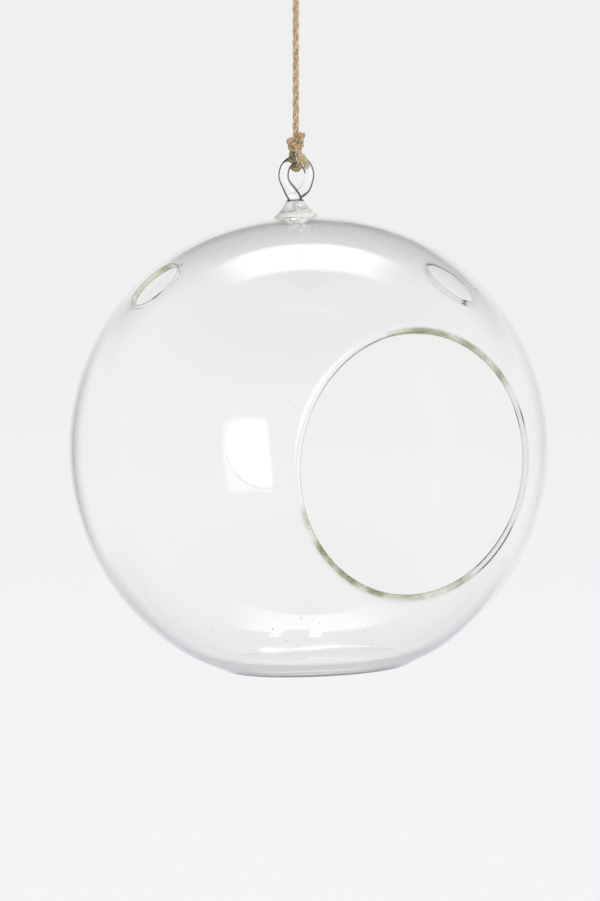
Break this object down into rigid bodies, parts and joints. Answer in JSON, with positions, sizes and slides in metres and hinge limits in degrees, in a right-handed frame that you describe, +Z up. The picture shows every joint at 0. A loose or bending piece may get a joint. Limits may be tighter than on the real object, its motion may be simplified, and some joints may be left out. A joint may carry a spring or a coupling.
{
  "type": "hanging glass terrarium",
  "caption": "Clear blown glass globe with a large round side mouth, two small vents, a flat base and a glass hanging ring, on a length of knotted jute twine.",
  "frame": {"origin": "the hang point: where a ceiling hook bears, inside the top of the twine's upper loop", "axes": "+Z up along the twine, -Y out of the globe's mouth, the two vents towards -X and +X"},
  "size_m": [0.1498, 0.1399, 0.2381],
  "materials": {
    "glass": "clear, hand-blown, polished, with small seeds and fire-polished lips",
    "jute": "natural three-ply jute twine, matt and hairy"
  },
  "bodies": {
    "upper_loop": {"hanging_loop": "jute"},
    "upper_knot": {"top_knot": "jute", "top_knot_tail": "jute"},
    "line": {"twine_line": "jute"},
    "lower_knot": {"ring_knot": "jute", "ring_knot_tail": "jute"},
    "bight": {"ring_bight": "jute"},
    "globe": {"hanger_ring": "glass", "hanger_foot": "glass", "globe_shell": "glass"}
  },
  "joints": [
    {"name": "loop_sway", "type": "hinge", "parent": "upper_loop", "child": "upper_knot", "pos_m": [0, 0, -0.018], "axis": [1, 0, 0], "range_deg": [-45, 45]},
    {"name": "line_swing", "type": "hinge", "parent": "upper_knot", "child": "line", "pos_m": [0, 0, -0.018], "axis": [0, 1, 0], "range_deg": [-45, 45]},
    {"name": "line_twist", "type": "hinge", "parent": "line", "child": "lower_knot", "pos_m": [0, 0, -0.0706], "axis": [0, 0, 1], "continuous": true},
    {"name": "hitch_rock", "type": "hinge", "parent": "lower_knot", "child": "bight", "pos_m": [0, 0, -0.0706], "axis": [0, 1, 0], "range_deg": [-35, 35]},
    {"name": "globe_tip", "type": "hinge", "parent": "bight", "child": "globe", "pos_m": [0, 0, -0.07515], "axis": [1, 0, 0], "range_deg": [-60, 60]}
  ]
}
